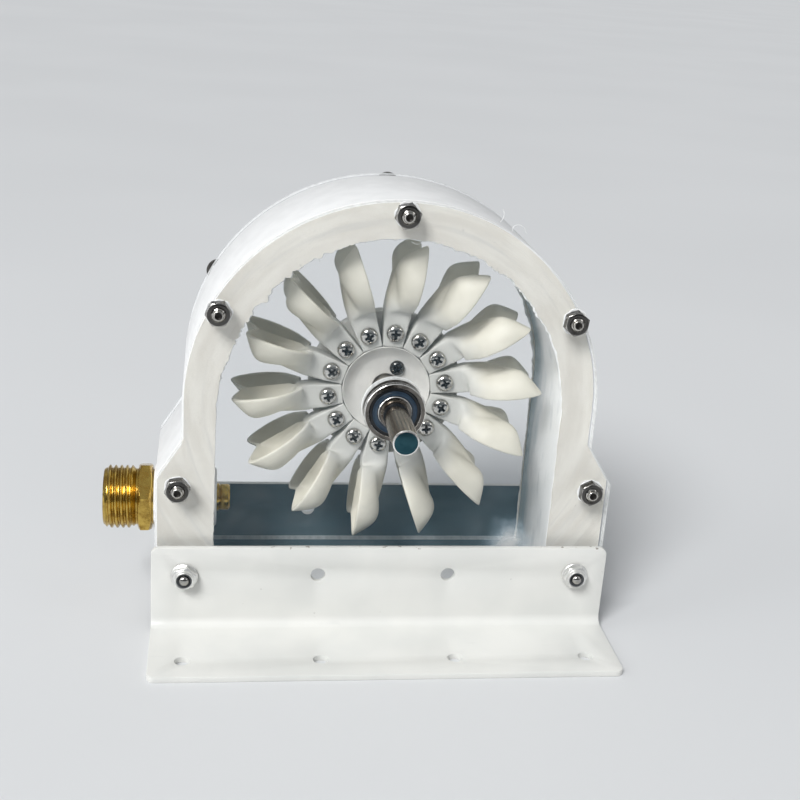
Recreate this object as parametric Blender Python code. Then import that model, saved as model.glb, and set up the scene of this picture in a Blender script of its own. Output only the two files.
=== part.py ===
# A bench-top Pelton turbine: arched white casing with clear end plates, a printed
# fourteen-bucket runner on a steel shaft, a brass inlet and two angle feet.
# Metres, +Z up. The front plate faces -Y and the water comes in from -X.
# The origin is the middle of the front foot's underside.

import math

import bmesh
import bpy
from mathutils import Matrix

MM = 0.001
GAP = 0.3 * MM

# Casing: an arch over two upright sides that step out to a wider base
AXIS_Z = 76.0 * MM
ARCH_R = 65.0 * MM
CHAMBER_R = 55.0 * MM
BASE_HALF = 73.0 * MM
SHOULDER_TOP = 12.5 * MM
SHOULDER_LOW = 25.0 * MM
CASING_BOTTOM = 67.0 * MM
PLATE_T = 3.0 * MM
SEAL_T = 0.8 * MM
BODY_DEPTH = 48.0 * MM
ARCH_STEPS = 32
HOLE_STEPS = 10
ROUND_STEPS = 24

# Angle feet
FOOT_HALF = 74.0 * MM
FOOT_T = 2.0 * MM
FOOT_TOP = 46.8 * MM
FOOT_REACH = 33.0 * MM
FOOT_CORNER_R = 2.5 * MM
BEND_R = 3.0 * MM
BEND_STEPS = 3
CORNER_STEPS = 3
FOOT_HOLE_R = 2.3 * MM
FOOT_HOLE_X = (-63.6 * MM, -21.2 * MM, 21.2 * MM, 63.6 * MM)
FOOT_HOLE_DOWN = 56.3 * MM
FOOT_HOLE_OUT = 23.8 * MM

# Through bolts, M4
BOLT_R = 2.0 * MM
BOLT_HOLE_R = 2.3 * MM
NUT_FLATS = 7.0 * MM
NUT_T = 3.2 * MM
BOLT_STICKOUT = 1.4 * MM
BOLT_CHAMFER = 0.4 * MM
HEAD_R = 3.9 * MM
HEAD_T = 2.6 * MM
HEAD_CROWN = 0.6
TOP_BOLT_UP = 61.3 * MM
SIDE_BOLT_X = 54.5 * MM
SIDE_BOLT_UP = 30.0 * MM
LOWER_BOLT_X = 66.0 * MM
LOWER_BOLT_DOWN = 27.0 * MM

# Shaft and ball bearings
SHAFT_R = 4.0 * MM
SHAFT_FRONT = 28.0 * MM
SHAFT_BACK = 6.0 * MM
SHAFT_CHAMFER = 0.4 * MM
BEARING_OUT_R = 9.5 * MM
BEARING_W = 6.0 * MM
BEARING_PROUD = 3.0 * MM
BEARING_CHAMFER = 0.4 * MM
RACE_T = 1.3 * MM
SHIELD_DEPTH = 0.5 * MM

# Runner
BUCKETS = 14
FIRST_BUCKET = 85.1
RUNNER_MID = 22.0 * MM
SCREW_CIRCLE = 19.1 * MM
SCREW_HOLE_R = 1.6 * MM
STEM_IN = 14.6 * MM
STEM_HALF = 4.7 * MM
STEM_FLARED = 27.0 * MM
STEM_END = 31.0 * MM
STEM_T = 6.0 * MM
HUB_R = 25.0 * MM
HUB_T = 3.0 * MM
BOSS_R = 14.2 * MM
BOSS_SINK = 3.0 * MM
BOSS_CHAMFER = 1.2 * MM
COUPLING_R = 11.0 * MM
COUPLING_T = 2.6 * MM
COUPLING_BOSS_R = 6.5 * MM
COUPLING_BOSS_T = 9.0 * MM

# Bucket: a pair of cups side by side with a ridge between them. Both are deepest near
# the tip, and the stem runs out behind the ridge as a spine.
CUP_ROOT = 26.5 * MM
CUP_TIP = 48.7 * MM
CUP_NOTCH = 45.4 * MM
CUP_HALF_W = 12.4 * MM
CUP_DEPTH = 9.1 * MM
CUP_DEEPEST = 0.77
CUP_WALL = 1.2 * MM
SPINE_DEPTH = 9.3 * MM
SPINE_HALF = 4.0 * MM
SPINE_END = 0.92
RIM_LIFT = 5.1 * MM
ROOT_DIP = 0.8 * MM
LOBE_SIDE = 0.82
CORNER_DROP = 1.2 * MM
CUP_ROWS = 7
CUP_COLUMNS = 8

# Brass inlet: threaded end, hexagon, spigot through the wall, nozzle
INLET_DOWN = 40.0 * MM
THREAD_R = 10.3 * MM
THREAD_END = 90.0 * MM
THREAD_CHAMFER = 0.8 * MM
HEX_START = 79.0 * MM
HEX_END = 74.5 * MM
HEX_FLATS = 21.0 * MM
HEX_INNER_R = 9.0 * MM
SPIGOT_R = 9.0 * MM
SPIGOT_END = 57.0 * MM
INLET_BORE_R = 6.5 * MM
NOZZLE_R = 4.3 * MM
NOZZLE_TIP = 49.5 * MM
NOZZLE_FLANGE_R = 7.5 * MM
NOZZLE_FLANGE_T = 2.9 * MM
NOZZLE_MOUTH_R = 5.0 * MM
NOZZLE_BORE_R = 2.6 * MM
NOZZLE_BORE_LENGTH = 2.0 * MM

# Where the front plate's face stands, so that the front foot is centred on y = 0
FRONT_Y = (FOOT_REACH + GAP) / 2
BACK_Y = FRONT_Y + BODY_DEPTH
RUNNER_Y = FRONT_Y + RUNNER_MID


def clear_scene():
    for item in list(bpy.data.objects):
        bpy.data.objects.remove(item, do_unlink=True)


def material(name, colour, roughness, metallic=0.0, alpha=1.0):
    made = bpy.data.materials.new(name)
    made.use_nodes = True
    shader = made.node_tree.nodes["Principled BSDF"]
    shader.inputs["Base Color"].default_value = (*colour, 1.0)
    shader.inputs["Roughness"].default_value = roughness
    shader.inputs["Metallic"].default_value = metallic
    shader.inputs["Alpha"].default_value = alpha
    return made


def make(name, bm, mat=None, smooth_angle=30.0):
    bmesh.ops.recalc_face_normals(bm, faces=bm.faces)
    mesh = bpy.data.meshes.new(name)
    bm.to_mesh(mesh)
    bm.free()
    if mat:
        mesh.materials.append(mat)
    mesh.shade_smooth()
    mesh.set_sharp_from_angle(angle=math.radians(smooth_angle))
    made = bpy.data.objects.new(name, mesh)
    bpy.context.scene.collection.objects.link(made)
    return made


def prism_y(points, y_start, y_end):
    """A closed outline in (x, z), extruded along Y."""
    bm = bmesh.new()
    ring = [bm.verts.new((x, y_start, z)) for x, z in points]
    face = bm.faces.new(ring)
    moved = bmesh.ops.extrude_face_region(bm, geom=[face])
    top = [item for item in moved["geom"] if isinstance(item, bmesh.types.BMVert)]
    bmesh.ops.translate(bm, verts=top, vec=(0, y_end - y_start, 0))
    return bm


def turned(profile, steps, axis, centre, closed=True):
    """A (radius, along) outline turned about an axis through centre.

    A closed outline makes a ring; an open one starts and ends on the axis."""
    bm = bmesh.new()
    chain = [bm.verts.new((radius, 0, along)) for radius, along in profile]
    edges = [bm.edges.new(pair) for pair in zip(chain, chain[1:])]
    if closed:
        edges.append(bm.edges.new((chain[-1], chain[0])))
    bmesh.ops.spin(bm, geom=chain + edges, axis=(0, 0, 1), cent=(0, 0, 0), dvec=(0, 0, 0),
                   angle=math.tau, steps=steps, use_merge=True, use_duplicate=False)
    bmesh.ops.remove_doubles(bm, verts=bm.verts, dist=1e-6)
    if axis == "Y":
        turn = Matrix.Rotation(-math.pi / 2, 4, "X")
    else:
        turn = Matrix.Rotation(math.pi / 2, 4, "Y")
    bmesh.ops.transform(bm, matrix=Matrix.Translation(centre) @ turn, verts=bm.verts)
    return bm


def cutter(name, *shapes):
    """One hidden object of shapes that don't touch each other."""
    whole = bmesh.new()
    for shape in shapes:
        mesh = bpy.data.meshes.new(name)
        shape.to_mesh(mesh)
        shape.free()
        whole.from_mesh(mesh)
        bpy.data.meshes.remove(mesh)
    made = make(name, whole)
    made.hide_render = True
    made.display_type = "WIRE"
    return made


def combine(target, tool, operation):
    change = target.modifiers.new(tool.name, "BOOLEAN")
    change.operation = operation
    change.solver = "EXACT"
    change.object = tool


def arch(radius):
    """A half circle over the shaft as (x, z), from its right end to its left end."""
    turns = [math.pi * step / ARCH_STEPS for step in range(ARCH_STEPS + 1)]
    return [(radius * math.cos(turn), AXIS_Z + radius * math.sin(turn)) for turn in turns]


def plate_outline():
    """The casing's front view: base, shoulders and arch, counter-clockwise."""
    base = AXIS_Z - CASING_BOTTOM
    right = [(BASE_HALF, base), (BASE_HALF, AXIS_Z - SHOULDER_LOW),
             (ARCH_R, AXIS_Z - SHOULDER_TOP)]
    left = [(-x, z) for x, z in reversed(right)]
    return right + arch(ARCH_R) + left


def wall_outline():
    """The casing wall's front view: the same outline round a chamber open below."""
    base = AXIS_Z - CASING_BOTTOM
    return (plate_outline() + [(-CHAMBER_R, base)] + arch(CHAMBER_R)[::-1]
            + [(CHAMBER_R, base)])


def bolt_places():
    """Name and (x, z) of each plate bolt, then of each foot bolt."""
    places = {"top": (0.0, AXIS_Z + TOP_BOLT_UP)}
    for name, side in (("left", -1), ("right", 1)):
        places[name] = (side * SIDE_BOLT_X, AXIS_Z + SIDE_BOLT_UP)
        places["lower_" + name] = (side * LOWER_BOLT_X, AXIS_Z - LOWER_BOLT_DOWN)
    return places


def foot_bolt_places():
    height = AXIS_Z - FOOT_HOLE_DOWN
    return {"left": (FOOT_HOLE_X[0], height), "right": (FOOT_HOLE_X[-1], height)}


def rod_y(radius, y_start, y_end, place, steps=HOLE_STEPS):
    x, z = place
    return turned([(0, y_start), (radius, y_start), (radius, y_end), (0, y_end)],
                  steps, "Y", (x, 0, z), closed=False)


def build_casing(white, clear, cream):
    margin = 2 * MM
    seal_front = FRONT_Y + PLATE_T + GAP
    seal_back = BACK_Y - PLATE_T - GAP
    shell_front = seal_front + SEAL_T + GAP
    shell_back = seal_back - SEAL_T - GAP
    places = list(bolt_places().values()) + list(foot_bolt_places().values())

    def bolt_rods():
        return [rod_y(BOLT_HOLE_R, FRONT_Y - margin, BACK_Y + margin, place)
                for place in places]

    wall_hole = turned([(0, -BASE_HALF - margin), (SPIGOT_R + GAP, -BASE_HALF - margin),
                        (SPIGOT_R + GAP, -CHAMBER_R + margin), (0, -CHAMBER_R + margin)],
                       ROUND_STEPS, "X", (0, RUNNER_Y, AXIS_Z - INLET_DOWN), closed=False)
    seat = rod_y(BEARING_OUT_R + GAP, FRONT_Y - margin, BACK_Y + margin, (0, AXIS_Z),
                 ROUND_STEPS)
    bolt_holes = cutter("bolt_holes", *bolt_rods())
    shell_holes = cutter("shell_holes", wall_hole, *bolt_rods())
    plate_holes = cutter("plate_holes", seat, *bolt_rods())

    wall = wall_outline()
    shell = make("housing_shell", prism_y(wall, shell_front, shell_back), white)
    combine(shell, shell_holes, "DIFFERENCE")
    for name, start in (("front_sealant", seal_front), ("back_sealant", seal_back - SEAL_T)):
        seal = make(name, prism_y(wall, start, start + SEAL_T), cream)
        combine(seal, bolt_holes, "DIFFERENCE")
    face = plate_outline()
    for name, start in (("front_plate", FRONT_Y), ("back_plate", BACK_Y - PLATE_T)):
        plate = make(name, prism_y(face, start, start + PLATE_T), clear)
        combine(plate, plate_holes, "DIFFERENCE")


def foot_section(drop):
    """The angle's section in (out, height), its upright against the plate. Both free
    edges are drop short of their full reach."""
    top = AXIS_Z - FOOT_TOP - drop
    reach = FOOT_REACH - drop
    outer_r = BEND_R + FOOT_T
    turns = [math.pi / 2 * step / BEND_STEPS for step in range(BEND_STEPS + 1)]
    points = [(0, top)]
    points += [(outer_r * (1 - math.cos(turn)), outer_r * (1 - math.sin(turn)))
               for turn in turns]
    points += [(reach, 0), (reach, FOOT_T)]
    points += [(outer_r - BEND_R * math.cos(turn), outer_r - BEND_R * math.sin(turn))
               for turn in reversed(turns)]
    return points + [(FOOT_T, top)]


def build_foot(name, face_y, side, white):
    """One angle foot. side is -1 where it reaches towards -Y and 1 towards +Y."""
    turns = [math.pi / 2 * step / CORNER_STEPS for step in range(CORNER_STEPS + 1)]
    stations = [(FOOT_HALF - FOOT_CORNER_R * (1 - math.cos(turn)),
                 FOOT_CORNER_R * (1 - math.sin(turn))) for turn in turns]
    stations = [(-x, drop) for x, drop in stations] + stations[::-1]
    bm = bmesh.new()
    rings = [[bm.verts.new((x, face_y + side * out, height))
              for out, height in foot_section(drop)] for x, drop in stations]
    count = len(rings[0])
    for first, second in zip(rings, rings[1:]):
        for index in range(count):
            after = (index + 1) % count
            bm.faces.new((first[index], first[after], second[after], second[index]))
    bm.faces.new(rings[0])
    bm.faces.new(rings[-1])
    foot = make(name, bm, white)
    height = AXIS_Z - FOOT_HOLE_DOWN
    out_y = face_y + side * FOOT_HOLE_OUT
    reach = 5 * MM
    drills = []
    for x in FOOT_HOLE_X:
        drills.append(rod_y(FOOT_HOLE_R, face_y - reach, face_y + reach, (x, height)))
        drill = bmesh.new()
        bmesh.ops.create_cone(drill, cap_ends=True, segments=HOLE_STEPS, radius1=FOOT_HOLE_R,
                              radius2=FOOT_HOLE_R, depth=2 * reach,
                              matrix=Matrix.Translation((x, out_y, 0)))
        drills.append(drill)
    combine(foot, cutter(name + "_holes", *drills), "DIFFERENCE")


def build_bolt(name, place, nut_face, head_face, steel):
    """A bolt with its nut run up: nut towards -Y, round head towards +Y."""
    x, z = place
    tip = nut_face - NUT_T - BOLT_STICKOUT
    nut_r = NUT_FLATS / math.sqrt(3)
    bm = turned([(0, tip), (BOLT_R - BOLT_CHAMFER, tip), (BOLT_R, tip + BOLT_CHAMFER),
                 (BOLT_R, head_face), (HEAD_R, head_face),
                 (HEAD_R, head_face + HEAD_CROWN * HEAD_T),
                 (HEAD_CROWN * HEAD_R, head_face + HEAD_T), (0, head_face + HEAD_T)],
                HOLE_STEPS, "Y", (x, 0, z), closed=False)
    bolt = make(name, bm, steel)
    nut = prism_y([(x + nut_r * math.cos(math.tau * (side + 0.5) / 6),
                    z + nut_r * math.sin(math.tau * (side + 0.5) / 6)) for side in range(6)],
                  nut_face - NUT_T, nut_face)
    combine(bolt, cutter(name + "_nut", nut), "UNION")


def build_bearing(name, y_start, y_end, chrome):
    """A sealed ball bearing as one ring, a little clear of the shaft and of its seat."""
    bore = SHAFT_R + GAP
    race_out = BEARING_OUT_R - RACE_T
    race_in = bore + RACE_T
    profile = [(bore, y_start), (race_in, y_start), (race_in, y_start + SHIELD_DEPTH),
               (race_out, y_start + SHIELD_DEPTH), (race_out, y_start),
               (BEARING_OUT_R - BEARING_CHAMFER, y_start),
               (BEARING_OUT_R, y_start + BEARING_CHAMFER),
               (BEARING_OUT_R, y_end - BEARING_CHAMFER),
               (BEARING_OUT_R - BEARING_CHAMFER, y_end),
               (race_out, y_end), (race_out, y_end - SHIELD_DEPTH),
               (race_in, y_end - SHIELD_DEPTH), (race_in, y_end), (bore, y_end)]
    make(name, turned(profile, ROUND_STEPS, "Y", (0, 0, AXIS_Z)), chrome)


def build_inlet(brass):
    inlet_z = AXIS_Z - INLET_DOWN
    centre = (0, RUNNER_Y, inlet_z)
    body = turned([(INLET_BORE_R, -THREAD_END), (THREAD_R - THREAD_CHAMFER, -THREAD_END),
                   (THREAD_R, -THREAD_END + THREAD_CHAMFER), (THREAD_R, -HEX_END),
                   (SPIGOT_R, -HEX_END), (SPIGOT_R, -SPIGOT_END),
                   (INLET_BORE_R, -SPIGOT_END)], ROUND_STEPS, "X", centre)
    fitting = make("inlet_fitting", body, brass)

    hexagon = bmesh.new()
    rings = []
    for radius, x in ((HEX_INNER_R, -HEX_START), (HEX_FLATS / math.sqrt(3), -HEX_START),
                      (HEX_FLATS / math.sqrt(3), -HEX_END), (HEX_INNER_R, -HEX_END)):
        turns = [math.tau * side / 6 for side in range(6)]
        rings.append([hexagon.verts.new((x, RUNNER_Y + radius * math.cos(turn),
                                         inlet_z + radius * math.sin(turn)))
                      for turn in turns])
    for first, second in zip(rings, rings[1:] + rings[:1]):
        for side in range(6):
            after = (side + 1) % 6
            hexagon.faces.new((first[side], first[after], second[after], second[side]))
    combine(fitting, cutter("inlet_hexagon", hexagon), "UNION")

    flange_back = SPIGOT_END - GAP
    flange_front = flange_back - NOZZLE_FLANGE_T
    tip = turned([(NOZZLE_MOUTH_R, -flange_back), (NOZZLE_FLANGE_R, -flange_back),
                  (NOZZLE_FLANGE_R, -flange_front), (NOZZLE_R, -flange_front),
                  (NOZZLE_R, -NOZZLE_TIP), (NOZZLE_BORE_R, -NOZZLE_TIP),
                  (NOZZLE_BORE_R, -NOZZLE_TIP - NOZZLE_BORE_LENGTH)],
                 ROUND_STEPS, "X", centre)
    make("nozzle", tip, brass)


def cup_half_width(along):
    """Half the opening's width, from the narrow root over the belly to the tip."""
    return CUP_HALF_W * (1 - 0.85 * (1 - along) ** 4 - 0.15 * along ** 6)


def cup_end(side):
    """How far out the rim runs: shallow notch at the ridge, then a rounded lobe."""
    rise = math.sin(math.pi / 2 * min(1.0, side / LOBE_SIDE)) ** 1.5
    corner = max(0.0, side - LOBE_SIDE) / (1 - LOBE_SIDE)
    return CUP_NOTCH + (CUP_TIP - CUP_NOTCH) * rise - CORNER_DROP * corner ** 2


def blended(first, second, power):
    """Follows the greater of two sizes for a positive power and the lesser for a negative
    one, and rounds the corner where they cross."""
    least = 1e-6
    return (max(first, least) ** power + max(second, least) ** power) ** (1 / power)


def spine_depth(along, width):
    """How deep the stem's spine stands behind the rim."""
    fading = max(0.0, 1 - (along / SPINE_END) ** 3.2) ** 0.7
    section = max(0.0, 1 - abs(width / SPINE_HALF) ** 3) ** (1 / 3)
    return SPINE_DEPTH * (0.93 + 0.07 * min(1.0, along / 0.2)) * fading * section


def cup_point(along, across, outside):
    """A point of the bucket's skin: along its length and across its width, both 0 to 1
    in size. Each hollow is deepest halfway between the ridge and its side, and the
    outside stands a wall's thickness off it all round."""
    side = abs(across)
    out = CUP_ROOT + (cup_end(side) - CUP_ROOT) * along
    width = across * cup_half_width(along)
    rim = RIM_LIFT - ROOT_DIP * (1 - along) ** 4
    cup = math.sqrt(max(0.0, 4 * side * (1 - side)))
    rise = 0.53 + 0.47 * along / CUP_DEEPEST
    end = ((1 - along) / (1 - CUP_DEEPEST)) ** 0.88
    if not outside:
        belly = blended(min(rise, (along / 0.3) ** 0.7), end, -7)
        return out, width, rim - (CUP_DEPTH - CUP_WALL) * belly * cup
    if side < 0.5:
        cup = 0.66 + 0.34 * math.sin(math.pi * side)
    cups = CUP_DEPTH * blended(rise, end, -7) * cup
    return (out + CUP_WALL * (2 * along - 1), width + CUP_WALL * across,
            rim - blended(cups, spine_depth(along, width), 4))


def eased(step, steps):
    """Steps from 0 to 1 that crowd towards both ends."""
    return 0.5 - 0.5 * math.cos(math.pi * step / steps)


def bucket_mesh():
    """One bucket in its own frame: X outward, Y across, Z towards its open side."""
    bm = bmesh.new()
    half = CUP_COLUMNS // 2
    shares = [eased(step, half) for step in range(half + 1)]
    across = [-share for share in reversed(shares[1:])] + shares

    def skin(outside):
        grid = []
        for row in range(CUP_ROWS + 1):
            line = []
            for share in across:
                line.append(bm.verts.new(cup_point(eased(row, CUP_ROWS), share, outside)))
            grid.append(line)
        return grid

    def border(grid):
        loop = list(grid[0])
        loop += [line[-1] for line in grid[1:]]
        loop += grid[-1][-2::-1]
        return loop + [line[0] for line in grid[-2:0:-1]]

    skins = (skin(False), skin(True))
    for grid in skins:
        for line, after in zip(grid, grid[1:]):
            for column in range(len(line) - 1):
                bm.faces.new((line[column], after[column], after[column + 1],
                              line[column + 1]))
    inner, outer = (border(grid) for grid in skins)
    for index in range(len(inner)):
        after = (index + 1) % len(inner)
        bm.faces.new((inner[index], inner[after], outer[after], outer[index]))
    return bm


def stem_mesh():
    """The flat stem that carries the screw: it nearly meets its neighbours at the hub,
    widens outward more slowly than its share of the circle, and tapers into the cups."""
    narrow = STEM_IN * math.tan(math.pi / BUCKETS) - GAP
    points = [(STEM_IN, -narrow), (STEM_FLARED, -STEM_HALF), (STEM_END, -0.75 * STEM_HALF),
              (STEM_END, 0.3 * STEM_HALF), (STEM_FLARED + 1.5 * MM, 0.9 * STEM_HALF),
              (CUP_ROOT - 1.0 * MM, 0.95 * STEM_HALF), (STEM_IN, narrow)]
    bm = bmesh.new()
    ring = [bm.verts.new((out, -STEM_T / 2, height)) for out, height in points]
    face = bm.faces.new(ring)
    moved = bmesh.ops.extrude_face_region(bm, geom=[face])
    top = [item for item in moved["geom"] if isinstance(item, bmesh.types.BMVert)]
    bmesh.ops.translate(bm, verts=top, vec=(0, STEM_T, 0))
    return bm


def build_buckets(ivory, spindle):
    """All buckets share one mesh; each is turned about the shaft to its place."""
    pattern = make("bucket_pattern", bucket_mesh(), ivory, 50.0)
    stem = cutter("bucket_stem", stem_mesh())
    drill = cutter("bucket_drill", rod_y(SCREW_HOLE_R, -STEM_T, STEM_T, (SCREW_CIRCLE, 0)))
    combine(pattern, stem, "UNION")
    combine(pattern, drill, "DIFFERENCE")
    evaluated = pattern.evaluated_get(bpy.context.evaluated_depsgraph_get())
    shape = bpy.data.meshes.new_from_object(evaluated)
    shape.name = "bucket"
    for item in (pattern, stem, drill):
        bpy.data.objects.remove(item, do_unlink=True)
    open_side_down = Matrix.Rotation(math.pi, 4, "X")
    for index in range(BUCKETS):
        angle = math.radians(FIRST_BUCKET - 360.0 / BUCKETS * index)
        bucket = bpy.data.objects.new("bucket_%02d" % (index + 1), shape)
        bpy.context.scene.collection.objects.link(bucket)
        bucket.parent = spindle
        bucket.matrix_local = Matrix.Rotation(-angle, 4, "Y") @ open_side_down


def build_runner(ivory, grey, chrome, steel):
    spindle = bpy.data.objects.new("runner_axis", None)
    bpy.context.scene.collection.objects.link(spindle)
    spindle.location = (0, RUNNER_Y, AXIS_Z)
    build_buckets(ivory, spindle)

    front = -RUNNER_MID - SHAFT_FRONT
    back = BODY_DEPTH - RUNNER_MID + SHAFT_BACK
    shaft = make("shaft", turned(
        [(0, front), (SHAFT_R - SHAFT_CHAMFER, front), (SHAFT_R, front + SHAFT_CHAMFER),
         (SHAFT_R, back - SHAFT_CHAMFER), (SHAFT_R - SHAFT_CHAMFER, back), (0, back)],
        ROUND_STEPS, "Y", (0, 0, 0), closed=False), chrome)

    bore = SHAFT_R + GAP
    disc_front = STEM_T / 2 + GAP
    disc_back = disc_front + HUB_T
    boss_front = -STEM_T / 2 + BOSS_SINK
    hub = make("hub_disc", turned(
        [(bore, boss_front), (BOSS_R - BOSS_CHAMFER, boss_front),
         (BOSS_R, boss_front + BOSS_CHAMFER), (BOSS_R, disc_front), (HUB_R, disc_front),
         (HUB_R, disc_back), (bore, disc_back)], ROUND_STEPS, "Y", (0, 0, 0)), grey)
    flange = disc_back + GAP
    coupling = make("flange_coupling", turned(
        [(bore, flange), (COUPLING_R, flange), (COUPLING_R, flange + COUPLING_T),
         (COUPLING_BOSS_R, flange + COUPLING_T), (COUPLING_BOSS_R, flange + COUPLING_BOSS_T),
         (bore, flange + COUPLING_BOSS_T)], ROUND_STEPS, "Y", (0, 0, 0)), steel)
    for piece in (shaft, hub, coupling):
        piece.parent = spindle


def main():
    clear_scene()
    white = material("white_print", (0.86, 0.86, 0.84), 0.45)
    clear = material("clear_acrylic", (0.93, 0.95, 0.95), 0.05, alpha=0.3)
    cream = material("cream_sealant", (0.84, 0.82, 0.76), 0.5)
    powder = material("white_powder_coat", (0.84, 0.85, 0.82), 0.4)
    ivory = material("ivory_print", (0.87, 0.85, 0.80), 0.5)
    grey = material("pale_grey_print", (0.74, 0.73, 0.71), 0.5)
    chrome = material("polished_steel", (0.62, 0.60, 0.57), 0.12, 1.0)
    steel = material("zinc_steel", (0.55, 0.54, 0.52), 0.28, 1.0)
    brass = material("brass", (0.72, 0.53, 0.22), 0.3, 1.0)

    build_casing(white, clear, cream)
    build_foot("front_foot", FRONT_Y - GAP, -1, powder)
    build_foot("back_foot", BACK_Y + GAP, 1, powder)
    for name, place in bolt_places().items():
        build_bolt("bolt_" + name, place, FRONT_Y - GAP, BACK_Y + GAP, steel)
    foot_reach = 2 * GAP + FOOT_T
    for name, place in foot_bolt_places().items():
        build_bolt("foot_bolt_" + name, place, FRONT_Y - foot_reach, BACK_Y + foot_reach, steel)
    build_bearing("front_bearing", FRONT_Y - BEARING_PROUD,
                  FRONT_Y - BEARING_PROUD + BEARING_W, chrome)
    build_bearing("back_bearing", BACK_Y + BEARING_PROUD - BEARING_W,
                  BACK_Y + BEARING_PROUD, chrome)
    build_inlet(brass)
    build_runner(ivory, grey, chrome, steel)


main()
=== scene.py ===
# A small bench Pelton turbine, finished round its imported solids: white printed casing,
# clear plates bedded in cream sealant, ivory printed buckets, steel shaft, brass inlet.
import math

import bmesh
import bpy
from mathutils import Matrix, Vector, noise


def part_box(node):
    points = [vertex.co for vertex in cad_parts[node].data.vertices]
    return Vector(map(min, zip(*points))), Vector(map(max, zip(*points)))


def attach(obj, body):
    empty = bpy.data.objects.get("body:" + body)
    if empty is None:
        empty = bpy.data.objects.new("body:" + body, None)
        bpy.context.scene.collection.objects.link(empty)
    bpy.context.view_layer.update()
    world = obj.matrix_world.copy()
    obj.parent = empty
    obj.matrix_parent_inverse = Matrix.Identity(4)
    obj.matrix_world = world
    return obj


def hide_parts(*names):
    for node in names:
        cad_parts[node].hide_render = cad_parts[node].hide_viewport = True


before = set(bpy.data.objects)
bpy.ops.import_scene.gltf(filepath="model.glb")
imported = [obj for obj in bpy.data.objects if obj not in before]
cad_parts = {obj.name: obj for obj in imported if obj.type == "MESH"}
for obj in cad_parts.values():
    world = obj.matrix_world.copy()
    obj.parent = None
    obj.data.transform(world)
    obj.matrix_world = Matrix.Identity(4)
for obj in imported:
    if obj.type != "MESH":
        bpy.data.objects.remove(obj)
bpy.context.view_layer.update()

# Sizes are in metres. MM turns millimetres into them.
MM = 0.001
SLIVER = 0.05*MM
FRONT, BACK, INWARD = (0, -1, 0), (0, 1, 0), (1, 0, 0)

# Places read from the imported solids
front_low, front_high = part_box("front_plate")
back_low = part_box("back_plate")[0]
shell_low, shell_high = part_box("housing_shell")
shaft_low, shaft_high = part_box("shaft")
hub_low, hub_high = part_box("hub_disc")
AXIS_Z = (shaft_low.z + shaft_high.z) / 2
SHAFT_R = (shaft_high.x - shaft_low.x) / 2
PLATE_T = front_high.y - front_low.y
BASE_HALF = front_high.x
ARCH_R = front_high.z - AXIS_Z
CASING_BOTTOM = front_low.z
bucket_low, bucket_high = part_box("bucket_04")
RUNNER_Y = (bucket_low.y + bucket_high.y) / 2

# The casing's outline and chamber
CHAMBER_R = 55*MM
SHOULDER_TOP = 12.5*MM
SHOULDER_LOW = 25*MM
ARCH_STEPS = 120
BEARING_SEAT_R = 9.8*MM
HOLE_R = 2.3*MM

# Angle feet
FOOT_T = 2*MM
BEND_R = 3*MM
FOOT_CORNER_R = 2.5*MM
FOOT_HOLES_X = (-63.6*MM, -21.2*MM, 21.2*MM, 63.6*MM)
FOOT_HOLE_DOWN = 56.3*MM
FOOT_HOLE_OUT = 23.8*MM

# Through bolts, M4
BOLT_R = 2*MM
NUT_FLATS = 7*MM
NUT_T = 3.2*MM
LOCK_NUT_T = 2.4*MM
NUT_TURNS = (14, 3, 22, 9, 27, 17, 5)
STICKOUT = 1.4*MM
HEAD_R = 3.9*MM
HEAD_T = 2.6*MM
THREAD_PITCH = 0.7*MM

# Runner
BUCKETS = 14
FIRST_BUCKET = 85.1
SCREW_CIRCLE = 19.1*MM
SCREW_HEAD_R = 2.85*MM
SCREW_HEAD_T = 2*MM
SMALL_NUT_FLATS = 5.5*MM
SMALL_NUT_T = 2.3*MM
HUB_SCREW_CIRCLE = 7.3*MM
HUB_SCREWS_AT = (62.0, 242.0)
COUPLING_T = 2.6*MM
COUPLING_BOSS_R = 6.5*MM
STEM_IN = 14.35*MM
STEM_HALF = 4.7*MM
STEM_FLARED = 27*MM
STEM_END = 31*MM
STEM_T = 6*MM
STEM_GAP = 0.06*MM
DISH_R = 9.5*MM

# Bucket: a pair of cups side by side with a ridge between them. Both are deepest near
# the tip, and the stem runs out behind the ridge as a spine.
CUP_ROOT = 26.5*MM
CUP_TIP = 48.7*MM
CUP_NOTCH = 45.4*MM
CUP_HALF_W = 12.4*MM
CUP_DEPTH = 9.1*MM
CUP_DEEPEST = 0.77
CUP_WALL = 1.2*MM
SPINE_DEPTH = 9.3*MM
SPINE_HALF = 4*MM
SPINE_END = 0.92
RIM_LIFT = 5.1*MM
ROOT_DIP = 0.8*MM
LOBE_SIDE = 0.82
CORNER_DROP = 1.2*MM
CUP_ROWS = 44
CUP_COLUMNS = 56

# Brass inlet
inlet_low, inlet_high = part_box("inlet_fitting")
INLET_Z = (inlet_low.z + inlet_high.z) / 2
THREAD_R = 10.3*MM
THREAD_DEPTH = 0.95*MM
PIPE_PITCH = 1.814*MM
THREAD_END = -90*MM
THREAD_START = -79.6*MM
HEX_START = -79*MM
HEX_END = -74.5*MM
HEX_FLATS = 21*MM
HEX_TURN = math.radians(70)
INLET_BORE_R = 6.5*MM
SPIGOT_R = 9*MM
SPIGOT_END = -57*MM
NOZZLE_R = 4.3*MM
NOZZLE_BORE_R = 2.6*MM


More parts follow.
